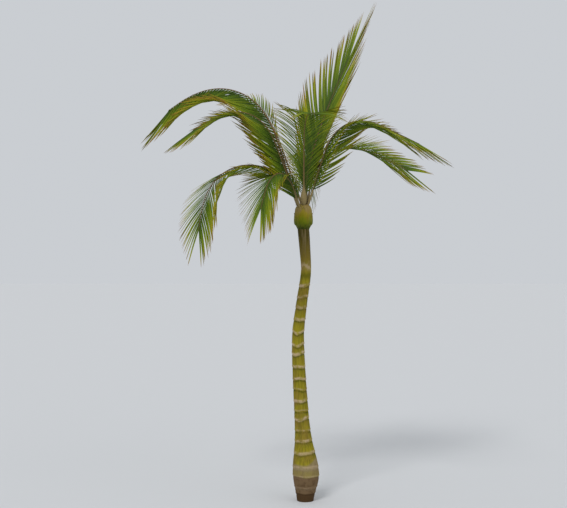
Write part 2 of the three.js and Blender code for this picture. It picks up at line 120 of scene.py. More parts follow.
def linear(colour: str) -> tuple[float, float, float, float]:
    """Turns an sRGB hex colour to the linear colour that a shader takes.

    Args:
        colour: six hex digits after a hash sign.

    Returns:
        Red, green, blue and an alpha of 1.
    """
    parts = [int(colour[i : i + 2], 16) / 255 for i in (1, 3, 5)]
    red, green, blue = (p / 12.92 if p <= 0.04045 else ((p + 0.055) / 1.055) ** 2.4 for p in parts)
    return (red, green, blue, 1.0)


def blend_hex(first: str, second: str, share: float) -> str:
    """Mixes two sRGB hex colours, up to a share of the second, and gives the mix as hex."""
    pairs = [(int(first[i : i + 2], 16), int(second[i : i + 2], 16)) for i in (1, 3, 5)]
    return "#" + "".join(f"{round(mix(a, b, share)):02x}" for a, b in pairs)


def fill(tree: NodeTree, node: Node, inputs: dict) -> None:
    """Sets a node's inputs, each to a value or to a link.

    Args:
        tree: the tree that the node is in.
        node: the node.
        inputs: value or output socket for each input, by name or number.
    """
    for key, value in inputs.items():
        if isinstance(value, NodeSocket):
            tree.links.new(value, node.inputs[key])
        else:
            node.inputs[key].default_value = value


def add_node(
    tree: NodeTree, kind: str, inputs: dict | None = None, **settings: object
) -> bpy.types.bpy_prop_collection:
    """Adds a node to a material's tree.

    Args:
        tree: the tree that it goes into.
        kind: the node's Blender type.
        inputs: value or output socket for each of its input sockets, by name or number.
        **settings: the node's own properties.

    Returns:
        The new node's output sockets.
    """
    node = tree.nodes.new(kind)
    for name, value in settings.items():
        setattr(node, name, value)
    fill(tree, node, inputs or {})
    return node.outputs


def lay(tree: NodeTree, colour: tuple | NodeSocket, layers: list[tuple]) -> NodeSocket:
    """Lays colours over one another.

    Args:
        tree: the material's tree.
        colour: the lowest colour.
        layers: for each layer, lowest first, its hex colour, the socket that it goes by, that
            socket's values where the layer starts and where it is full, and how much it covers
            there, as a share or a socket.

    Returns:
        Socket of the colour on top.
    """
    for tint, guide, start, full, cover in layers:
        share = add_node(tree, RANGE, {0: guide, 1: start, 2: full, 4: cover})[0]
        colour = add_node(tree, MIX, {0: share, 6: colour, 7: linear(tint)}, data_type="RGBA")[2]
    return colour


def new_material(name: str, roughness: float, gloss: float = 0.5) -> tuple[Material, NodeTree, Node]:
    """Makes a material with one plain Principled shader.

    Args:
        name: what the real material is.
        roughness: the shader's roughness.
        gloss: the shader's specular level.

    Returns:
        The material, its node tree and its shader.
    """
    material = bpy.data.materials.new(name)
    material.use_nodes = True
    tree = material.node_tree
    shader = tree.nodes["Principled BSDF"]
    fill(tree, shader, {"Roughness": roughness, "Specular IOR Level": gloss})
    return material, tree, shader


def new_object(name: str, data: ID) -> Object:
    """Puts something in the scene as an object at the origin.

    Args:
        name: the object's name.
        data: its mesh, lamp or camera.

    Returns:
        The object.
    """
    item = bpy.data.objects.new(name, data)
    bpy.context.scene.collection.objects.link(item)
    return item


def blank_tube(sides: int, levels: int) -> BMesh:
    """Makes a closed tube of radius 1 from z = 0 to z = 1, to be shaped level by level.

    Args:
        sides: number of its sides.
        levels: number of even steps along it.

    Returns:
        The tube, with its two flat ends.
    """
    tube = bmesh.new()
    bmesh.ops.create_cone(tube, cap_ends=True, segments=sides, radius1=1.0, radius2=1.0, depth=1.0)
    bmesh.ops.translate(tube, verts=tube.verts, vec=(0.0, 0.0, 0.5))
    upright = [e for e in tube.edges if abs(e.verts[0].co.z - e.verts[1].co.z) > 0.5]
    bmesh.ops.subdivide_edges(tube, edges=upright, cuts=levels - 1)
    return tube


def mesh_from(name: str, shape: BMesh) -> Mesh:
    """Turns a shape in millimetres into a mesh in metres, with its faces pointing out.

    Args:
        name: the mesh's name.
        shape: the shape, which is freed.

    Returns:
        The mesh.
    """
    bmesh.ops.scale(shape, vec=(MM, MM, MM), verts=shape.verts)
    bmesh.ops.recalc_face_normals(shape, faces=shape.faces)
    mesh = bpy.data.meshes.new(name)
    shape.to_mesh(mesh)
    shape.free()
    return mesh


def finished_piece(
    mesh: Mesh, materials: list[Material], nodes: tuple[str, ...], sharp: float
) -> Object:
    """Puts a mesh on the plant as a smooth-shaded piece at the origin.

    Args:
        mesh: its mesh, in metres, with the piece's name.
        materials: its materials, in the order of its faces' slots.
        nodes: CAD nodes that the piece replaces.
        sharp: edges bent more than this many degrees stay sharp.

    Returns:
        The piece.
    """
    for material in materials:
        mesh.materials.append(material)
    mesh.polygons.foreach_set("use_smooth", [True] * len(mesh.polygons))
    mesh.set_sharp_from_angle(angle=radians(sharp))
    mesh.update()
    piece = new_object(mesh.name, mesh)
    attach(piece, BODY)
    if nodes:
        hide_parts(*nodes)
    mesh.calc_loop_triangles()
    LOG.info("%s: %d triangles", piece.name, len(mesh.loop_triangles))
    return piece


@dataclass(frozen=True)
class RingedBark:
    """Bark of a young palm trunk, as it grew: smooth olive cuticle between pale corky leaf scars.

    It has hardly any gloss. Green shows through the cuticle above, darkened under each scar with
    painted shade, tan and then brown cork takes over at the foot, and the top turns brown, then dark
    with painted shadow from the swelling, streaked with grey, between the heights given. The fibres
    that run up it are drawn coarser than real ones, or they wouldn't show. Colours are sRGB, lengths
    are millimetres.
    """

    light: str = "#92861c"
    # Dark green of the painted shade under each scar.
    dark: str = "#525008"
    brown: str = "#7b6428"
    streak: str = "#4a4a10"
    fleck: str = "#a3983e"
    scar: str = "#b8a283"
    # Painted shadow that the swelling casts on the top of the trunk.
    shoulder: str = "#3f380e"
    shoulder_grey: str = "#7a6a49"
    tan: str = "#897958"
    cork: str = "#6b553e"
    foot: str = "#49351f"
    fibre_width: float = 9.0
    streak_width: float = 30.0
    fibre_stretch: float = 20.0
    patch_size: float = 260.0
    blotch_size: float = 85.0
    fibre_relief: float = 2.0
    browning: tuple[float, float] = (4500.0, 4900.0)
    # Heights where the painted shadow of the swelling and the grey streaks come in.
    shadow_and_grey: tuple[float, float] = (4750.0, 5300.0)
    roughness: float = 0.82
    gloss: float = 0.12

    def material(self) -> Material:
        """Builds the bark from its height, the attributes of its zones and stretched noise.

        Returns:
            The bark.
        """
        material, tree, shader = new_material("palm_bark_ringed", self.roughness, self.gloss)
        place = add_node(tree, PLACE)["Object"]
        height = add_node(tree, SPLIT, {0: place})["Z"]
        along = add_node(tree, STRETCH, {0: place, "Scale": (1, 1, 1 / self.fibre_stretch)})[0]
        fibres, streaks, patches, blotches = (
            add_node(tree, NOISE, {0: source, "Scale": 1 / (size * MM), "Detail": detail})[0]
            for source, size, detail in (
                (along, self.fibre_width, 4),
                (along, self.streak_width, 3),
                (place, self.patch_size, 3),
                (place, self.blotch_size, 3),
            )
        )
        scar, shade, tan, cork, foot = (
            add_node(tree, ATTRIBUTE, attribute_name=zone)["Fac"] for zone in BARK_ZONES
        )
        grey, stain, broken, worn, rough = (
            add_node(tree, RANGE, dict(enumerate(span)))[0]
            for span in (
                (streaks, 0.5, 0.62, 0, 0.782),
                (blotches, 0.48, 0.66, 0, 0.55),
                (blotches, 0.42, 0.54, 0.2, 0.95),
                (fibres, 0.3, 0.6, 0.6, 1),
                (fibres, 0.3, 0.7, self.roughness - 0.1, self.roughness + 0.12),
            )
        )
        wear = add_node(tree, MATHS, {0: broken, 1: worn}, operation="MULTIPLY")[0]
        browning, shadow_and_grey = ([z * MM for z in span] for span in (self.browning, self.shadow_and_grey))
        colour = lay(tree, linear(self.light), [
            # Painted shade in the groove under each scar's lip.
            (self.dark, shade, 0, 1, 1),
            (self.brown, patches, 0.42, 0.66, 0.75),
            (self.streak, streaks, 0.45, 0.65, 0.4),
            (self.fleck, fibres, 0.5, 0.72, 0.4),
            (self.brown, height, *browning, 0.6),
            # Painted shadow of the swelling on the top of the trunk, then grey streaks in it.
            (self.shoulder, height, *shadow_and_grey, 0.92),
            (self.shoulder_grey, height, *shadow_and_grey, grey),
            (self.tan, tan, 0, 1, 1),
            (self.cork, tan, 0, 1, stain),
            (self.cork, cork, 0, 1, 1),
            (self.foot, cork, 0, 1, stain),
            (self.foot, foot, 0, 1, 1),
            (self.scar, scar, 0, 1, wear),
        ])
        depth = self.fibre_relief * MM
        relief = add_node(tree, BUMP, {"Height": fibres, "Strength": 0.5, "Distance": depth})[0]
        fill(tree, shader, {"Base Color": colour, "Roughness": rough, "Normal": relief})
        return material


@dataclass(frozen=True)
class LeafSheath:
    """Living leaf sheaths that swell on top of the trunk: leathery and green, dry and tan above.

    They have a faint waxy gloss. Their fine ribs are drawn coarse enough to show. The tints stand at
    heights above the swelling's foot. Colours are sRGB, lengths are millimetres.
    """

    foot_z: float
    tints: tuple[tuple[float, str], ...] = (
        (0.0, "#333507"),
        (30.0, "#424c04"),
        (110.0, "#5c6802"),
        (190.0, "#717604"),
        (270.0, "#877c10"),
        (350.0, "#948226"),
        (440.0, "#95823c"),
        (540.0, "#83703a"),
    )
    dry: str = "#917c48"
    brown: str = "#6a5220"
    rib_width: float = 7.0
    streak_width: float = 28.0
    rib_stretch: float = 16.0
    rib_relief: float = 1.6
    unevenness: float = 40.0
    roughness: float = 0.6
    gloss: float = 0.14

    def material(self) -> Material:
        """Builds the sheaths' skin from their height, their dry attribute and stretched noise.

        Returns:
            The skin.
        """
        material, tree, shader = new_material("palm_leaf_sheath", self.roughness, self.gloss)
        place = add_node(tree, PLACE)["Object"]
        height = add_node(tree, SPLIT, {0: place})["Z"]
        along = add_node(tree, STRETCH, {0: place, "Scale": (1, 1, 1 / self.rib_stretch)})[0]
        ribs, streaks = (
            add_node(tree, NOISE, {0: along, "Scale": 1 / (width * MM), "Detail": 3})[0]
            for width in (self.rib_width, self.streak_width)
        )
        dry = add_node(tree, ATTRIBUTE, attribute_name="dry")["Fac"]
        sway = self.unevenness * MM
        lift = add_node(tree, RANGE, {0: streaks, 1: 0.3, 2: 0.7, 3: -sway, 4: sway})[0]
        uneven = add_node(tree, MATHS, {0: height, 1: lift}, operation="ADD")[0]
        heights = [(self.foot_z + rise) * MM for rise, _ in self.tints]
        bands = [
            (tint, uneven, start, full, 1)
            for (_, tint), start, full in zip(self.tints[1:], heights, heights[1:])
        ]
        colour = lay(tree, linear(self.tints[0][1]), [
            *bands,
            (self.dry, dry, 0, 1, 1),
            (self.brown, streaks, 0.55, 0.72, 0.45),
            (self.tints[1][1], ribs, 0.55, 0.75, 0.25),
        ])
        depth = self.rib_relief * MM
        relief = add_node(tree, BUMP, {"Height": ribs, "Strength": 0.45, "Distance": depth})[0]
        fill(tree, shader, {"Base Color": colour, "Normal": relief})
        return material


@dataclass(frozen=True)
class StalkSkin:
    """Skin of a frond's stalk: a pale dry sheath, then olive, then brown along the leafy stretch.

    It is smooth and slightly waxy, with a paler underside. The fibres along it are drawn coarse enough
    to show. Bare and leafy runs are where the olive and the brown set in, measured from the foot.
    Colours are sRGB, lengths are millimetres.
    """

    sheath: str = "#8b7b52"
    stalk: str = "#7a6940"
    rachis: str = "#6d5036"
    under: str = "#7c6b42"
    fibre: str = "#57432c"
    fibre_width: float = 4.0
    fibre_stretch: float = 24.0
    fibre_relief: float = 1.0
    bare_run: tuple[float, float] = (300.0, 500.0)
    leafy_run: tuple[float, float] = (500.0, 1100.0)
    roughness: float = 0.6
    gloss: float = 0.15

    def material(self) -> Material:
        """Builds the skin from the stalk's grain and face attributes.

        Returns:
            The skin.
        """
        material, tree, shader = new_material("palm_frond_stalk", self.roughness, self.gloss)
        grain = add_node(tree, ATTRIBUTE, attribute_name="grain")["Vector"]
        run = add_node(tree, SPLIT, {0: grain})["Z"]
        face = add_node(tree, ATTRIBUTE, attribute_name="face")["Fac"]
        along = add_node(tree, STRETCH, {0: grain, "Scale": (1, 1, 1 / self.fibre_stretch)})[0]
        fine = 1 / (self.fibre_width * MM)
        fibres = add_node(tree, NOISE, {0: along, "Scale": fine, "Detail": 3})[0]
        below = add_node(tree, RANGE, {0: face, 1: 0.1, 2: -0.3, 4: 0.75})[0]
        bare, leafy = ([far * MM for far in span] for span in (self.bare_run, self.leafy_run))
        colour = lay(tree, linear(self.sheath), [
            (self.stalk, run, *bare, 1),
            (self.rachis, run, *leafy, 1),
            (self.under, run, *leafy, below),
            (self.fibre, fibres, 0.52, 0.72, 0.5),
        ])
        depth = self.fibre_relief * MM
        relief = add_node(tree, BUMP, {"Height": fibres, "Strength": 0.4, "Distance": depth})[0]
        fill(tree, shader, {"Base Color": colour, "Normal": relief})
        return material


@dataclass(frozen=True)
class BladeTints:
    """Leaflet blades of a palm, leathery with a soft gloss: dark at the root, olive, then a dry tip.

    The colours have their place along each blade, so they are plain base colours dealt out to its
    faces, in a few shades from leaflet to leaflet. The tints stand at shares of a blade's length.
    """

    tints: tuple[tuple[float, str], ...] = (
        (0.05, "#3a500b"),
        (0.25, "#526b08"),
        (0.48, "#70820a"),
        (0.72, "#8b8d0d"),
        (0.88, "#977f17"),
        (0.98, "#7f501f"),
    )
    zones: int = 9
    deep: str = "#25390c"
    pale: str = "#94901c"
    shades: tuple[float, ...] = (-0.3, -0.1, 0.0, 0.22)
    roughness: float = 0.62
    gloss: float = 0.2

    def materials(self) -> list[Material]:
        """Makes one plain material for each zone in each shade.

        Returns:
            The materials, zone by zone.
        """
        made = []
        for zone in range(self.zones):
            tint = self.tint((zone + 0.5) / self.zones)
            for shade, share in enumerate(self.shades):
                name = f"palm_leaflet_zone{zone + 1}_shade{shade + 1}"
                material, tree, shader = new_material(name, self.roughness, self.gloss)
                colour = linear(blend_hex(tint, self.deep if share < 0 else self.pale, abs(share)))
                fill(tree, shader, {"Base Color": colour})
                made.append(material)
        return made

    def tint(self, t: float) -> str:
        """Finds the colour of a middling blade.

        Args:
            t: share of its length.

        Returns:
            The colour as hex.
        """
        i = min(max(bisect.bisect([place for place, _ in self.tints], t), 1), len(self.tints) - 1)
        (low, first), (high, second) = self.tints[i - 1], self.tints[i]
        return blend_hex(first, second, ramp(low, high, t))

    def slot(self, t: float, shade: int) -> int:
        """Number of the material for a place along the blade and a shade."""
        zone = min(self.zones - 1, max(0, int(t * self.zones)))
        return zone * len(self.shades) + shade


@dataclass(frozen=True)
class Mottled:
    """Matt stuff on a ground colour, with soft patches of a second one, sized in millimetres."""

    name: str
    ground: str
    patch: str
    patch_size: float
    cover: float
    roughness: float

    def material(self) -> Material:
        """Builds the mottle from noise.

        Returns:
            The material.
        """
        material, tree, shader = new_material(self.name, self.roughness)
        place = add_node(tree, PLACE)["Object"]
        patches = add_node(tree, NOISE, {0: place, "Scale": 1 / (self.patch_size * MM)})[0]
        colour = lay(tree, linear(self.ground), [(self.patch, patches, 0, 1, self.cover)])
        fill(tree, shader, {"Base Color": colour})
        return material


# Coir is the coarse fibre left where old sheaths have worn away: dull and rough, in two browns.
COIR = Mottled("palm_coir_fibre", "#4a3620", "#8a6a3a", patch_size=30.0, cover=1.0, roughness=0.9)
# The floor is a sheet of pale matt paper, all but even.
PAPER = Mottled("studio_paper", "#cecfd0", "#c5c6c7", patch_size=2500.0, cover=0.04, roughness=0.95)


@dataclass(frozen=True)
class Scar:
    """One leaf scar round the trunk: a pale band on a line that waves and hangs down in one place.

    Its hang's azimuth is in degrees and spreads over radians. Lengths are millimetres.
    """

    height: float
    reach: float
    paleness: float
    hang: float
    hang_azimuth: float
    waves: tuple[tuple[int, float, float], ...] = ()

    HANG_SPREAD = 1.1

    def line(self, azimuth: float) -> float:
        """Follows the scar's line round the trunk.

        Args:
            azimuth: direction, in radians.

        Returns:
            Height of the line there.
        """
        turn = (azimuth - radians(self.hang_azimuth) + pi) % tau - pi
        hung = self.hang * max(0.0, 1 - abs(turn) / self.HANG_SPREAD)
        waved = sum(size * sin(n * azimuth + start) for n, size, start in self.waves)
        return self.height - hung + waved


@dataclass
class Trunk:
    """The ringed trunk, from its flat cut at ground level to the swelling.

    A scar has a raised lip, a groove and, in the groove under it, a band of painted shade in dark green.
    Above worn_z the scars are worn flat and only a band of painted shade is left, lower down under
    each. The wedge is where the tan of the foot climbs on one side, with its azimuth and spread in
    radians.
    """

    height: float = 5420.0
    sides: int = 120
    level_pitch: float = 11.0
    low_radius: float = 145.0
    low_z: float = 1500.0
    neck_radius: float = 101.0
    neck_z: float = 4600.0
    top_radius: float = 116.0
    bole_radius: float = 262.0
    bole_z: float = 545.0
    bole_spread_up: float = 560.0
    bole_spread_down: float = 410.0
    scars: tuple[Scar, ...] = (
        Scar(168, 14, 0.0, 0, 0), Scar(290, 26, 0.22, 10, -60), Scar(520, 13, 0.5, 0, 0),
        Scar(690, 30, 0.55, 0, 0), Scar(972, 24, 0.75, -18, -20), Scar(1212, 22, 0.85, -22, -10),
        Scar(1424, 15, 0.55, 8, -120), Scar(1664, 25, 1.0, 44, -125), Scar(1812, 12, 0.45, 0, 0),
        Scar(2000, 24, 1.0, -30, -15), Scar(2242, 13, 0.5, 12, -70), Scar(2436, 19, 1.0, -14, -90),
        Scar(2690, 25, 0.85, 16, -75), Scar(2966, 27, 0.95, 42, -120), Scar(3148, 22, 0.9, 60, -105),
        Scar(3402, 21, 0.9, 60, -100), Scar(3628, 24, 0.85, 14, -80), Scar(3878, 25, 0.65, 18, -90),
        Scar(4070, 18, 0.85, -20, -40), Scar(4312, 27, 1.0, 26, -95), Scar(4680, 62, 0.7, 0, 0),
    )
    sway: tuple[tuple[float, float], ...] = (
        (0, 0), (550, 12), (1700, -74), (3250, -145), (3900, -78), (4560, 12), (5000, -6), (5420, -38),
    )
    band_fullness: float = 1.6
    lip: float = 6.0
    lip_reach: float = 14.0
    groove: float = 3.5
    groove_drop: float = 38.0
    flare: float = 3.5
    # Painted shade under each scar: where it begins, where its dark line lies, how it fades and its share.
    shade_from: float = 20.0
    shade_drop: float = 44.0
    shade_fade: float = 90.0
    shade_share: float = 0.6
    open_drop: float = 260.0
    # Painted shade under the worn scars: its drop, reach and share.
    worn_shade_drop: float = 190.0
    worn_shade_reach: float = 75.0
    worn_shade_share: float = 0.75
    fibre_relief: float = 1.8
    fibre_width: float = 16.0
    fibre_stretch: float = 14.0
    plain_end: float = 60.0
    foot_z: float = 172.0
    foot_fade: float = 12.0
    cork_z: float = 506.0
    cork_fade: float = 14.0
    tan_z: float = 735.0
    tan_fade: float = 30.0
    edge_wave: float = 9.0
    edge_ripple: float = 5.0
    worn_z: float = 4390.0
    wedge_rise: float = 130.0
    wedge_azimuth: float = -0.35
    wedge_spread: float = 0.75

    def __post_init__(self) -> None:
        """Draws the waves of each scar's line."""
        draw = random.Random(SEED)
        waved = []
        for scar in self.scars:
            sizes = ((1, draw.uniform(2, 7)), (2, draw.uniform(2, 7)), (5, draw.uniform(2, 5)))
            waves = tuple((n, size, draw.uniform(0, tau)) for n, size in sizes)
            waved.append(replace(scar, waves=waves))
        self.scars = tuple(waved)

    def radius(self, z: float) -> float:
        """Finds how thick the trunk is between its scars.

        Args:
            z: height.

        Returns:
            Half its width there.
        """
        stem = mix(self.low_radius, self.neck_radius, ramp(self.low_z, self.neck_z, z))
        stem += (self.top_radius - self.neck_radius) * smooth(self.neck_z, self.height, z)
        spread = self.bole_spread_up if z > self.bole_z else self.bole_spread_down
        return stem + (self.bole_radius - stem) * bump(z - self.bole_z, spread)

    def axis(self, z: float) -> Vector:
        """Follows the trunk's axis, a curve through the sway's places.

        Args:
            z: height.

        Returns:
            The place on the axis.
        """
        last = len(self.sway) - 1
        i = min(max(bisect.bisect_left([place[0] for place in self.sway], z), 1), last)
        (z0, x0), (z1, x1) = self.sway[i - 1], self.sway[i]
        before, after = self.sway[max(0, i - 2)], self.sway[min(last, i + 1)]
        slope_from = (x1 - before[1]) / (z1 - before[0]) if i > 1 else 0.0
        slope_to = (after[1] - x0) / (after[0] - z0)
        t = ramp(z0, z1, z)
        swing = t * (1 - t) * (z1 - z0) * (slope_from * (1 - t) - slope_to * t)
        return Vector((mix(x0, x1, smooth(z0, z1, z)) + swing, 0.0, z))

    def surface(self, z: float, azimuth: float) -> tuple[float, float, float]:
        """Relief and colouring of the bark between its scars at a place.

        Args:
            z: height.
            azimuth: direction round the trunk, in radians.

        Returns:
            How far the surface stands out, how much of it is scar, and how much painted shade darkens the
            green.
        """
        i = bisect.bisect_left([scar.height for scar in self.scars], z)
        near = [(scar.line(azimuth) - z, scar) for scar in self.scars[max(0, i - 1) : i + 2]]
        drop = min((gap for gap, _ in near if gap > 0), default=self.open_drop)
        rise = min((-gap for gap, _ in near if gap <= 0), default=z + 1.0)
        gap, scar = min(near, key=lambda pair: abs(pair[0]))
        band = min(1.0, self.band_fullness * bump(gap, scar.reach)) * scar.paleness
        # Above worn_z there is no relief, only painted shade lower down under the scar.
        if z > self.worn_z:
            return 0.0, band, self.worn_shade_share * bump(drop - self.worn_shade_drop, self.worn_shade_reach)
        out = self.lip * bump(gap, self.lip_reach)
        out -= self.groove * bump(drop - self.groove_drop, self.lip_reach)
        out += self.flare * (drop / (drop + rise) - 0.4)
        # Painted shade: a dark line in the groove under the scar's lip, fading down the internode.
        fading = exp(-max(0.0, drop - self.shade_drop) / self.shade_fade)
        shade = bump(drop - self.shade_drop, self.lip_reach)
        shade += self.shade_share * smooth(self.shade_from, self.shade_drop, drop) * fading
        return out, band, min(1.0, shade)

    def zones(self, z: float, azimuth: float) -> tuple[float, float, float]:
        """Colouring of the swollen foot at a place.

        Args:
            z: height.
            azimuth: direction round the trunk, in radians.

        Returns:
            How much of the surface is tan, brown cork and dark foot.
        """
        wave = self.edge_wave * sin(2 * azimuth + 1.0) + self.edge_ripple * sin(5 * azimuth)
        turn = (azimuth - self.wedge_azimuth + pi) % tau - pi
        wedge = self.wedge_rise * bump(turn, self.wedge_spread)
        tan = 1 - smooth(-self.tan_fade, self.tan_fade, z - self.tan_z - wedge - wave)
        cork = 1 - smooth(-self.cork_fade, self.cork_fade, z - self.cork_z - wave)
        foot = 1 - smooth(-self.foot_fade, self.foot_fade, z - self.foot_z - 0.5 * wave)
        return tan * mix(0.55, 0.9, smooth(600, 690, z - wave)), 0.92 * cork, 0.95 * foot

    def build(self) -> Mesh:
        """Shapes a tube to the trunk, with the relief of scars and fibres.

        Returns:
            The trunk's mesh.
        """
        shape = blank_tube(self.sides, round(self.height / self.level_pitch))
        for zone in BARK_ZONES:
            shape.verts.layers.float.new(zone)
        layers = [shape.verts.layers.float[zone] for zone in BARK_ZONES]
        for vert in shape.verts:
            azimuth = atan2(vert.co.y, vert.co.x)
            z = vert.co.z * self.height
            out, *shares = self.surface(z, azimuth)
            for layer, share in zip(layers, (*shares, *self.zones(z, azimuth))):
                vert[layer] = share
            radius = self.radius(z)
            around = level(azimuth) * (radius / self.fibre_width)
            fibre = noise.noise(around + Vector((0.0, 0.0, z / self.fibre_width / self.fibre_stretch)))
            held = smooth(0, self.plain_end, z) * smooth(self.height, self.height - self.plain_end, z)
            radius += (out + self.fibre_relief * fibre) * held
            vert.co = self.axis(z) + level(azimuth) * radius
        return mesh_from("trunk_bark", shape)

    def place(self) -> None:
        """Builds the trunk, dresses it and puts it in place of its solid."""
        finished_piece(self.build(), [RingedBark().material()], ("trunk",), sharp=60)


@dataclass(frozen=True)
class SheathShape:
    """One leaf sheath on the swelling. Angles are in degrees, heights from the swelling's foot."""

    azimuth: float
    half_width: float
    foot: float
    shoulder: float
    top: float
    rise: float
    tip: Tip

    def breadth(self, h: float) -> float:
        """Share of the half-width that is left at a height."""
        t = ramp(self.shoulder, self.top, h)
        return 1 - t**1.15 if self.tip is Tip.POINTED else sqrt(1 - t**1.8)


@dataclass
class Swelling:
    """The swelling of leaf sheaths between the trunk and the fronds.

    The four rounded sheaths lie under the four pointed ones, whose tips stand off it.
    """

    centre_x: float = -38.0
    foot_z: float = 5420.3
    height: float = 520.0
    radius: float = 172.0
    foot_radius: float = 116.0
    dome_foot: float = 330.0
    dome_power: float = 2.6
    sides: int = 96
    levels: int = 64
    flutes: int = 36
    flute_depth: float = 1.5
    sheath_grid: tuple[int, int] = (26, 30)
    sheath_thickness: float = 5.0
    sheath_sink: float = 9.0
    rib_height: float = 1.1
    rib_count: int = 9
    tip_lift: float = 11.0
    cap_lift: float = 3.0
    cap_margin: float = 12.0
    sheaths: tuple[SheathShape, ...] = (
        SheathShape(-130, 34, 90, 320, 480, 8, Tip.ROUNDED),
        SheathShape(-60, 34, 90, 340, 505, 8, Tip.ROUNDED),
        SheathShape(42, 34, 80, 320, 480, 8, Tip.ROUNDED),
        SheathShape(132, 34, 80, 330, 490, 8, Tip.ROUNDED),
        SheathShape(-90, 50, 40, 265, 422, 15, Tip.POINTED),
        SheathShape(-4, 30, 60, 190, 325, 17, Tip.POINTED),
        SheathShape(90, 48, 40, 260, 415, 15, Tip.POINTED),
        SheathShape(-178, 30, 60, 190, 325, 17, Tip.POINTED),
    )

    def axis(self, h: float) -> Vector:
        """Place on the swelling's axis at a height above its foot."""
        return Vector((self.centre_x, 0.0, self.foot_z + h))

    def half_width(self, h: float) -> float:
        """Half-width of the swelling at a height above its foot."""
        swell = mix(self.foot_radius, self.radius, smooth(-20, 130, h))
        return swell * sqrt(1 - ramp(self.dome_foot, self.height, h) ** self.dome_power)

    def on_dome(self, out: Vector, depth: float) -> Vector:
        """Place at a level offset from the axis, at a depth under the dome's surface there."""
        rise = (1 - (out.length / self.radius) ** 2) ** (1 / self.dome_power)
        return self.axis(mix(self.dome_foot, self.height, rise) - depth) + out

    def core(self) -> BMesh:
        """Shapes a tube to the swelling under its sheaths.

        Returns:
            The swelling, in millimetres.
        """
        shape = blank_tube(self.sides, self.levels)
        for vert in shape.verts:
            azimuth = atan2(vert.co.y, vert.co.x)
            h = self.height * sin(vert.co.z * pi / 2)
            fluted = smooth(20, 120, h) * smooth(self.height, 420, h)
            radius = self.half_width(min(h, self.height - 0.4))
            radius += self.flute_depth * sin(self.flutes * azimuth) * fluted
            vert.co = self.axis(h) + level(azimuth) * radius
        return shape

    def add_sheath(self, shape: BMesh, sheath: SheathShape) -> None:
        """Adds one closed sheath, bent round the swelling, with the loose edge of a real one.

        Args:
            shape: the shape that it joins.
            sheath: the sheath.
        """
        columns, rows = self.sheath_grid
        made = bmesh.ops.create_grid(shape, x_segments=columns, y_segments=rows, size=1.0)["verts"]
        dry = shape.verts.layers.float["dry"]
        pointed = sheath.tip is Tip.POINTED
        for vert in made:
            s = vert.co.x
            t = (vert.co.y + 1) / 2
            h = mix(sheath.foot, sheath.top, t)
            breadth = max(sheath.breadth(h), 0.03)
            azimuth = radians(sheath.azimuth + s * sheath.half_width * breadth)
            belly = sin(pi * min(1.0, 0.12 + t * 0.8))
            lift = sheath.rise * belly * (1 - 0.6 * s * s) - self.sheath_sink * (1 - smooth(0.0, 0.16, t))
            ribs = self.rib_height * cos(self.rib_count * pi * s) * smooth(0.0, 0.2, t)
            loose = self.tip_lift * smooth(0.85, 1.0, t) if pointed else self.cap_lift * t
            radius = self.half_width(min(h, self.height - self.cap_margin)) + lift + ribs + loose
            vert.co = self.axis(h) + level(azimuth) * radius
            flank = smooth(0.45, 1.0, abs(s)) * mix(0.1, 0.42, smooth(0.2, 0.6, t))
            edge = max(flank, smooth(0.88, 1.0, t) * 0.6)
            vert[dry] = edge if pointed else max(edge, smooth(0.35, 0.8, t))
        faces = list({face for vert in made for face in vert.link_faces})
        bmesh.ops.recalc_face_normals(shape, faces=faces)
        middle = faces[len(faces) // 2]
        centre = middle.calc_center_median()
        if middle.normal.dot(centre - Vector((self.centre_x, 0.0, centre.z))) < 0:
            bmesh.ops.reverse_faces(shape, faces=faces)
        bmesh.ops.solidify(shape, geom=faces, thickness=self.sheath_thickness)

    def place(self) -> None:
        """Builds the swelling with its sheaths and puts it in place of its solid."""
        shape = self.core()
        shape.verts.layers.float.new("dry")
        for sheath in self.sheaths:
            self.add_sheath(shape, sheath)
        mesh = mesh_from("crownshaft_sheaths", shape)
        finished_piece(mesh, [LeafSheath(self.foot_z).material()], ("crownshaft",), sharp=50)


@dataclass(frozen=True)
class RibPlace:
    """A place on a rib, with the directions along it, to its left and out of its upper face."""

    place: Vector
    along: Vector
    left: Vector
    up: Vector


@dataclass(frozen=True)
class Rib:
    """Centre line of a frond and the directions of its stretches."""

    points: list[Vector]
    alongs: list[Vector]
    lefts: list[Vector]

    def at(self, u: float) -> RibPlace:
        """Finds a place on the rib and the directions there.

        Args:
            u: share of the rib's length.

        Returns:
            The place with its directions.
        """
        steps = len(self.alongs)
        x = min(max(u, 0.0), 1.0) * steps
        i = min(int(x), steps - 1)
        y = min(max(x - 0.5, 0.0), steps - 1.0)
        j = min(int(y), steps - 2)
        along = self.alongs[j].lerp(self.alongs[j + 1], y - j).normalized()
        left = self.lefts[j].lerp(self.lefts[j + 1], y - j).normalized()
        place = self.points[i].lerp(self.points[i + 1], x - i)
        return RibPlace(place, along, left, along.cross(left).normalized())


@dataclass(frozen=True)
class Habit:
    """How one leaflet differs from its neighbours. Angles are in degrees."""

    lean: float
    lift: float
    droop: float
    length: float
    twist: float
    shade: int
    fade: float

    @classmethod
    def drawn(cls, draw: random.Random, shades: int) -> "Habit":
        """Draws a leaflet's habit.

        Args:
            draw: where the numbers come from.
            shades: how many shades there are.

        Returns:
            The habit.
        """
        return cls(
            lean=draw.gauss(0, 1.6),
            lift=draw.gauss(0, 2.5),
            droop=draw.uniform(0.8, 1.35),
            length=draw.uniform(0.93, 1.0),
            twist=draw.uniform(-14, 14),
            shade=draw.randrange(shades),
            fade=draw.uniform(-0.05, 0.05),
        )


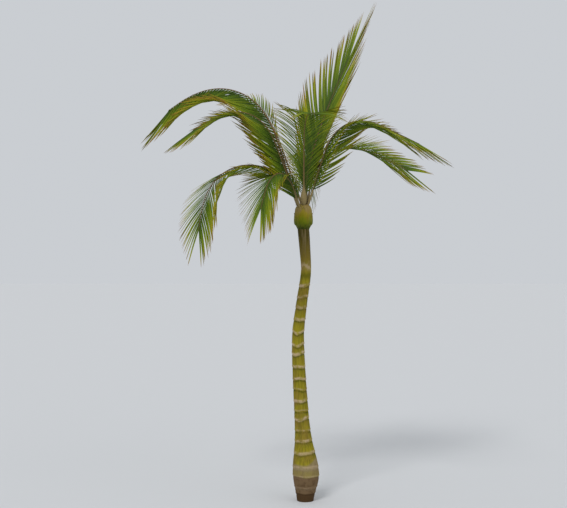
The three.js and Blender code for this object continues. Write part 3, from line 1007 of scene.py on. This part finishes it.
@dataclass(frozen=True)
class Frond:
    """One feather frond. Angles are in degrees, lengths in millimetres, bends in shares of the rib.

    The rib leaves its seat on the swelling at the rise and reaches the end tilt through its bend. The
    leaflets of the left row stand at vee above the blade's plane, those of the right at vee_right.
    Breadth is how broad its leaflets are beside those of the other fronds.
    """

    name: str
    seat_azimuth: float
    seat_radius: float
    sheath: float
    heading: float
    drift: float
    rise: float
    end: float
    bend_from: float
    bend_to: float
    length: float
    leaf: float
    leaf_start: float
    vee: float
    vee_end: float
    vee_right: float
    vee_right_end: float
    droop: float
    droop_end: float
    angle: float
    angle_end: float
    angle_power: float
    split: bool = True
    breadth: float = 1.0

    RIB_STEPS = 60
    SEAT_DEPTH = 42.0
    STALK_WIDTH = 44.0
    END_WIDTH = 9.0
    TAPER_POWER = 0.8
    HEIGHT_SHARE = 0.82
    STALK_SHARE = 0.1
    SHEATH_FOOT = 0.12
    SHEATH_WIDEST = 160.0
    SHEATH_FULL = 190.0
    SHEATH_END = 420.0
    FOOT_RUN = 90.0
    FOOT_DEPTH = 35.0
    FOOT_INSET = 0.25
    HOLLOW_DEPTH = 0.9
    HOLLOW_WIDTH = 0.55
    RIDGE_HEIGHT = 0.35
    RIDGE_WIDTH = 0.3
    LAST_SHARE = 0.8
    ROOT_OUT = 0.7
    ROOT_UP = 0.2
    SWEEP = 0.45
    LEAFLET_STEPS = 10
    STALK_SIDES = 18
    STALK_LEVELS = 110
    LEVEL_POWER = 1.25

    @property
    def nodes(self) -> tuple[str, ...]:
        """Solids of the frond: two where it is split at its bend."""
        whole = f"frond_{self.name}"
        return (f"{whole}_inner", f"{whole}_outer") if self.split else (whole,)

    def seat(self) -> Vector:
        """Level offset of the frond's seat from the swelling's axis."""
        return level(radians(self.seat_azimuth)) * self.seat_radius

    def rib(self, swelling: Swelling) -> Rib:
        """Bends the frond's centre line from its seat on the swelling's dome.

        Args:
            swelling: the swelling.

        Returns:
            The rib.
        """
        points, alongs, lefts = [swelling.on_dome(self.seat(), self.SEAT_DEPTH)], [], []
        for i in range(self.RIB_STEPS):
            u = (i + 0.5) / self.RIB_STEPS
            tilt = radians(mix(self.rise, self.end, smooth(self.bend_from, self.bend_to, u)))
            heading = radians(self.heading + self.drift * u)
            along = level(heading) * cos(tilt) + Vector((0.0, 0.0, sin(tilt)))
            alongs.append(along)
            lefts.append(Vector((-sin(heading), cos(heading), 0.0)))
            points.append(points[-1] + along * (self.length / self.RIB_STEPS))
        return Rib(points, alongs, lefts)

    def rib_width(self, u: float) -> float:
        """Width of the rib: a sheath that swells above its foot, a stout stalk and a thin end.

        Args:
            u: share of the rib's length.

        Returns:
            The width there.
        """
        run = u * self.length
        stalk = mix(self.STALK_WIDTH, self.END_WIDTH, u**self.TAPER_POWER)
        swell = mix(self.SHEATH_FOOT, 1, smooth(-20, self.SHEATH_WIDEST, run))
        swell *= 1 - smooth(self.SHEATH_FULL, self.SHEATH_END, run)
        return stalk + (self.sheath - stalk) * swell

    def leaflet_length(self, w: float) -> float:
        """Length of the leaflet that stands at a share w of the leafy stretch."""
        start = mix(self.leaf_start, 1, smooth(-0.1, 0.35, w))
        return self.leaf * start * mix(1, self.LAST_SHARE, smooth(0.5, 1.1, w))

    def leafy(self, w: float) -> float:
        """Share of the rib's length at a share w of its leafy stretch."""
        return self.STALK_SHARE + (1 - self.STALK_SHARE) * w

    def leaflet_line(self, rib: Rib, side: Side, w: float, share: float, habit: Habit) -> list[Vector]:
        """Centre line of a leaflet.

        Args:
            rib: the frond's rib.
            side: the row that it stands in.
            w: its share of the leafy stretch.
            share: how much of its full length it has.
            habit: how it differs from its neighbours.

        Returns:
            Points from its root to its tip.
        """
        at = rib.at(self.leafy(w))
        angle = radians(mix(self.angle, self.angle_end, w**self.angle_power) + habit.lean)
        vees = (self.vee, self.vee_end) if side is Side.LEFT else (self.vee_right, self.vee_right_end)
        vee = radians(mix(*vees, smooth(0.1, 0.85, w)) + habit.lift)
        droop = mix(self.droop, self.droop_end, smooth(0.1, 0.8, w)) * habit.droop
        outward = at.left * (side.value * cos(vee)) + at.up * sin(vee)
        start = at.along * cos(angle) + outward * sin(angle)
        half = self.rib_width(self.leafy(w)) / 2
        step = self.leaflet_length(w) * share * habit.length / self.LEAFLET_STEPS
        root = at.left * (side.value * half * self.ROOT_OUT) + at.up * (half * self.ROOT_UP)
        points = [at.place + root]
        for j in range(self.LEAFLET_STEPS):
            t = (j + 0.5) / self.LEAFLET_STEPS
            way = start + at.along * (self.SWEEP * t) - Vector((0.0, 0.0, droop * smooth(0.15, 0.9, t)))
            points.append(points[-1] + way.normalized() * step)
        return points

    def stalk_mesh(self, rib: Rib) -> Mesh:
        """Bends a tube along the rib, hollow above at the stalk and ridged along the leafy stretch.

        Args:
            rib: the frond's rib.

        Returns:
            The stalk's mesh.
        """
        shape = blank_tube(self.STALK_SIDES, self.STALK_LEVELS)
        grain = shape.verts.layers.float_vector.new("grain")
        face = shape.verts.layers.float.new("face")
        for vert in shape.verts:
            turn = atan2(vert.co.y, vert.co.x)
            u = vert.co.z**self.LEVEL_POWER
            run = u * self.length
            half = self.rib_width(u) / 2
            across = half * cos(turn)
            high = half * self.HEIGHT_SHARE * sin(turn)
            if high > 0:
                hollow = smooth(150, 260, run) * (1 - smooth(0.1, 0.2, u))
                ridge = smooth(0.12, 0.3, u)
                high -= hollow * self.HOLLOW_DEPTH * half * bump(across, half * self.HOLLOW_WIDTH)
                high += ridge * self.RIDGE_HEIGHT * half * bump(across, half * self.RIDGE_WIDTH)
            at = rib.at(u)
            sunk = at.along * self.FOOT_DEPTH + self.seat() * self.FOOT_INSET
            foot = at.place - sunk * (1 - smooth(0, self.FOOT_RUN, run))
            vert.co = foot + at.left * across + at.up * high
            vert[grain] = (across * MM, high * MM, run * MM)
            vert[face] = sin(turn)
        return mesh_from(f"{self.name}_stalk", shape)


@dataclass
class Tapers:
    """Many small closed tapers joined to one mesh. Each has rings of places and ends in a point."""

    places: list[Vector] = field(default_factory=list)
    faces: list[tuple[int, ...]] = field(default_factory=list)
    slots: list[int] = field(default_factory=list)

    def add(self, rings: list[list[Vector]], tip: Vector, slots: list[int]) -> None:
        """Adds one taper.

        Args:
            rings: the places round each level, from its foot.
            tip: the point that it ends in.
            slots: number of the material of its foot, then of the faces above each ring.
        """
        first = len(self.places)
        sides = len(rings[0])
        end = first + sides * len(rings)
        self.places += [place for ring in rings for place in ring] + [tip]
        self.faces.append(tuple(range(first + sides - 1, first - 1, -1)))
        self.slots.append(slots[0])
        for start, slot in zip(range(first, end, sides), slots[1:]):
            for k in range(sides):
                here, there = start + k, start + (k + 1) % sides
                last = start + sides == end
                self.faces.append((here, there, end) if last else (here, there, there + sides, here + sides))
                self.slots.append(slot)

    def mesh(self, name: str) -> Mesh:
        """Joins the tapers to one mesh in metres.

        Args:
            name: the mesh's name.

        Returns:
            The mesh.
        """
        mesh = bpy.data.meshes.new(name)
        mesh.from_pydata([tuple(place * MM) for place in self.places], [], self.faces)
        mesh.polygons.foreach_set("material_index", self.slots)
        return mesh


@dataclass
class LeafletRow:
    """Joined leaflets of one frond: closed blades, folded down along the midrib."""

    width: float
    tints: BladeTints
    thickness: float = 2.4
    root_share: float = 0.75
    fold: float = 24.0
    blades: Tapers = field(default_factory=Tapers)

    def half_width(self, t: float) -> float:
        """Half the blade's width at a share t of its length."""
        grown = self.width * mix(self.root_share, 1, smooth(0.0, 0.3, t))
        return max(0.5, grown / 2 * (1 - t**3.4) ** 0.8)

    def add(self, line: list[Vector], along: Vector, side: Side, habit: Habit) -> None:
        """Adds one blade.

        Args:
            line: its centre line from root to tip.
            along: direction of the frond's rib at its root.
            side: the row that it stands in.
            habit: how it differs from its neighbours.
        """
        last = len(line) - 1
        fold = radians(self.fold)
        rings = []
        slots = [self.tints.slot(0.0, habit.shade)]
        for j in range(last):
            t = j / last
            way = (line[j + 1] - line[max(0, j - 1)]).normalized()
            across = (along - way * along.dot(way)).normalized()
            face = way.cross(across)
            twist = radians(habit.twist) * t
            flat = face * cos(twist) - across * sin(twist)
            half = self.half_width(t)
            lowered = line[j] + flat * (side.value * half * sin(fold))
            reach = (across * cos(twist) + face * sin(twist)) * (half * cos(fold))
            thick = flat * (self.thickness / 2 * (1 - 0.6 * t))
            rings.append([lowered + reach, line[j] + thick, lowered - reach, line[j] - thick])
            slots.append(self.tints.slot((j + 0.5) / last + habit.fade, habit.shade))
        self.blades.add(rings, line[last], slots)


@dataclass(frozen=True)
class Obstacles:
    """What the leaflets keep clear of: places with the reach round each."""

    places: np.ndarray
    reaches: np.ndarray

    def clear(self, line: list[Vector]) -> bool:
        """Tells whether a leaflet stays out of everything's reach, past its first stretch.

        Args:
            line: its centre line.

        Returns:
            True where it does.
        """
        points = np.array(line[1:])
        starts, ends = points[:-1], points[1:]
        runs = ends - starts
        offsets = self.places[:, None, :] - starts[None, :, :]
        shares = np.clip((offsets * runs).sum(-1) / (runs * runs).sum(-1), 0, 1)
        gaps = np.linalg.norm(offsets - shares[..., None] * runs, axis=-1)
        return bool((gaps > self.reaches[:, None]).all())


@dataclass
class Crown:
    """The fronds, grown from their seats on the swelling by the same rule as their solids."""

    trunk: Trunk
    swelling: Swelling
    fronds: tuple[Frond, ...]
    pairs: int = 58
    clearance: float = 8.0
    width_share: float = 0.031
    widest: float = 50.0
    shares: tuple[float, ...] = (1.0, 0.8, 0.6, 0.42)
    rib_checks: int = 180
    trunk_from: int = 3200
    trunk_pitch: int = 40
    swelling_margin: int = 80
    swelling_pitch: int = 20

    def obstacles(self, own: int, ribs: list[Rib]) -> Obstacles:
        """Gathers what a frond's leaflets keep clear of.

        Args:
            own: number of the frond, whose own rib is left out.
            ribs: all the ribs.

        Returns:
            The other ribs, the trunk and the swelling.
        """
        near = [
            (rib.at(k / self.rib_checks).place, frond.rib_width(k / self.rib_checks) / 2 + self.clearance)
            for number, (frond, rib) in enumerate(zip(self.fronds, ribs))
            if number != own
            for k in range(self.rib_checks + 1)
        ]
        trunk, swelling = self.trunk, self.swelling
        heights = range(self.trunk_from, int(trunk.height), self.trunk_pitch)
        near += [(trunk.axis(z), trunk.radius(z) + 3 * self.clearance) for z in heights]
        heights = range(0, int(swelling.height) - self.swelling_margin, self.swelling_pitch)
        near += [(swelling.axis(h), swelling.half_width(h) + 3 * self.clearance) for h in heights]
        places, reaches = zip(*near)
        return Obstacles(np.array(places), np.array(reaches))

    def leaflets(self, number: int, ribs: list[Rib], tints: BladeTints) -> Tapers:
        """Grows the leaflets of one frond, from its foot to its end.

        A leaflet that would touch another rib, the trunk or the swelling is shortened or left out.

        Args:
            number: number of the frond.
            ribs: all the ribs.
            tints: colours of the blades.

        Returns:
            Its leaflets, joined.
        """
        frond, rib = self.fronds[number], ribs[number]
        obstacles = self.obstacles(number, ribs)
        draw = random.Random(SEED + 7 * number)
        row = LeafletRow(min(self.widest, frond.leaf * self.width_share) * frond.breadth, tints)
        for k in range(self.pairs):
            w = (k + 0.5) / self.pairs
            along = rib.at(frond.leafy(w)).along
            for side in Side:
                habit = Habit.drawn(draw, len(tints.shades))
                lines = (frond.leaflet_line(rib, side, w, share, habit) for share in self.shares)
                line = next((found for found in lines if obstacles.clear(found)), None)
                if line:
                    row.add(line, along, side, habit)
        return row.blades

    def place(self) -> None:
        """Builds all the fronds and puts them in place of their solids."""
        tints = BladeTints()
        blades = tints.materials()
        skin = StalkSkin().material()
        ribs = [frond.rib(self.swelling) for frond in self.fronds]
        for number, frond in enumerate(self.fronds):
            stalk = frond.stalk_mesh(ribs[number])
            finished_piece(stalk, [skin], frond.nodes, sharp=50)
            leaflets = self.leaflets(number, ribs, tints).mesh(f"{frond.name}_leaflets")
            finished_piece(leaflets, blades, frond.nodes, sharp=35)


@dataclass
class CoirTuft:
    """Worn coir that stands up between the stalks from the top of the swelling."""

    swelling: Swelling
    count: int = 150
    ring_low: float = 60.0
    ring_high: float = 150.0
    shortest: float = 35.0
    longest: float = 95.0
    thickness: float = 3.2
    root_depth: float = 8.0
    lean: float = 0.45
    lean_out: tuple[float, float] = (0.1, 0.7)
    bend: float = 1.2
    sides: int = 3
    steps: int = 4

    def place(self) -> None:
        """Builds the strands as thin three-sided tapers that lean outwards."""
        draw = random.Random(SEED + 99)
        strands = Tapers()
        corners = [level(tau * k / self.sides) for k in range(self.sides)]
        for _ in range(self.count):
            azimuth = draw.uniform(0, tau)
            radius = draw.uniform(self.ring_low, self.ring_high)
            length = draw.uniform(self.shortest, self.longest)
            out = level(azimuth)
            centre = self.swelling.on_dome(out * radius, self.root_depth)
            lean = Vector((draw.gauss(0, self.lean), draw.gauss(0, self.lean), 0.0))
            lean += out * draw.uniform(*self.lean_out)
            rings = []
            for j in range(self.steps):
                half = self.thickness / 2 * (1 - 0.6 * j / self.steps)
                rings.append([centre + corner * half for corner in corners])
                way = Vector((0.0, 0.0, 1.0)) + lean * ((j + 1) / self.steps) * self.bend
                centre = centre + way.normalized() * (length / self.steps)
            strands.add(rings, centre, [0] * (self.steps + 1))
        mesh = strands.mesh("crownshaft_coir")
        finished_piece(mesh, [COIR.material()], (), sharp=80)


@dataclass
class Studio:
    """Floor, soft light and the camera, level at about half the tree's height."""

    eye: tuple[float, float, float] = (-436.0, -20400.0, 4926.0)
    image_width: int = 567
    focal_pixels: float = 1020.0
    sensor: float = 36.0
    floor_half: float = 150000.0
    floor_drop: float = 1.0
    sky: str = "#dfe3e8"
    sky_strength: float = 0.8
    lamps: tuple[tuple[str, float, float, float, float], ...] = (
        ("key", 1.3, 18.0, 42.0, -24.0),
        ("fill", 0.4, 60.0, 62.0, 48.0),
    )

    def floor(self) -> None:
        """Lays the floor just under the cut of the trunk."""
        shape = bmesh.new()
        bmesh.ops.create_grid(shape, x_segments=1, y_segments=1, size=self.floor_half)
        bmesh.ops.translate(shape, verts=shape.verts, vec=(0.0, 0.0, -self.floor_drop))
        mesh = mesh_from("studio_floor", shape)
        mesh.materials.append(PAPER.material())
        new_object("studio_floor", mesh)

    def light(self) -> None:
        """Hangs soft lamps by their strength, spread, tilt and turn, in a pale surround."""
        for name, strength, *degrees in self.lamps:
            spread, tilt, turn = map(radians, degrees)
            data = bpy.data.lights.new(name, "SUN")
            data.energy = strength
            data.angle = spread
            new_object(name, data).rotation_euler = (tilt, 0.0, turn)
        world = bpy.data.worlds.new("studio_surround")
        world.use_nodes = True
        background = world.node_tree.nodes["Background"]
        fill(world.node_tree, background, {"Color": linear(self.sky), "Strength": self.sky_strength})
        bpy.context.scene.world = world

    def camera(self) -> None:
        """Sets the camera at the photograph's viewing angle."""
        data = bpy.data.cameras.new("camera")
        data.sensor_width = self.sensor
        data.lens = self.focal_pixels / self.image_width * self.sensor
        data.clip_end = 1000.0
        camera = new_object("camera", data)
        camera.location = Vector(self.eye) * MM
        camera.rotation_euler = (radians(90), 0.0, 0.0)
        bpy.context.scene.camera = camera

    def place(self) -> None:
        """Sets up the whole studio."""
        self.floor()
        self.light()
        self.camera()
        bpy.context.scene.view_settings.view_transform = "Standard"


FRONDS = (
    Frond("upright", 70, 18, 62, 62, -26, 97, 61, -0.6, 0.62, 3450, 1800, 0.34,
          8, -4, 14, 27, 0, 0, 29, 12, 3.4, split=False),
    Frond("front", -88, 108, 130, -76, 0, 89, -12, 0.52, 0.92, 2450, 940, 0.3,
          -14, 4, -14, 4, 0.42, 0.55, 46, 66, 1.3, breadth=0.72),
    Frond("right", -38, 104, 60, -32, 20, 70, -27, 0.3, 0.8, 3400, 1050, 0.42,
          -55, -28, -50, -15, 0.06, 0.06, 52, 16, 2),
    Frond("back_right", 12, 100, 56, 30, 0, 94, -20, -0.1, 0.8, 3300, 1100, 0.42,
          -20, 62, 6, -52, 0.08, 0.06, 52, 22, 1.5),
    Frond("back", 58, 100, 56, 84, 6, 66, -46, 0.1, 0.95, 3400, 960, 0.42,
          -30, -50, -30, -50, 0.3, 0.4, 52, 18, 2, breadth=0.7),
    Frond("back_left", 96, 104, 56, 136, -12, 64, -6, 0.3, 1.3, 3300, 1000, 0.42,
          -40, -20, -80, 25, 0.1, 0.25, 52, 22, 1.6, breadth=0.8),
    Frond("left", 165, 100, 58, 174, 0, 72, -35, 0.3, 1, 4250, 1290, 0.42,
          -60, -82, -60, -25, 0.04, 0.02, 54, 22, 1.8),
    Frond("front_left", -158, 100, 56, -168, 0, 69, -32, 0.36, 0.92, 3350, 1000, 0.42,
          -60, -45, -60, -20, 0.12, 0.1, 52, 14, 1.6),
    Frond("low_left", 134, 142, 56, 148, 85, 78, -80, -0.12, 1, 3350, 1000, 0.6,
          -10, -50, -30, 15, 0.2, 0.15, 58, 12, 3),
    Frond("low_front", -123, 144, 56, -128, 6, 66, -66, 0.08, 0.9, 2000, 980, 0.5,
          -30, -15, -30, -15, 0.4, 0.3, 48, 14, 2.5),
)


def main() -> None:
    """Builds the plant's looks from the ground up, then the studio."""
    logging.basicConfig(level=logging.INFO, format="%(message)s")
    trunk = Trunk()
    swelling = Swelling()
    trunk.place()
    swelling.place()
    CoirTuft(swelling).place()
    Crown(trunk, swelling, FRONDS).place()
    Studio().place()


if __name__ == "__main__":
    main()
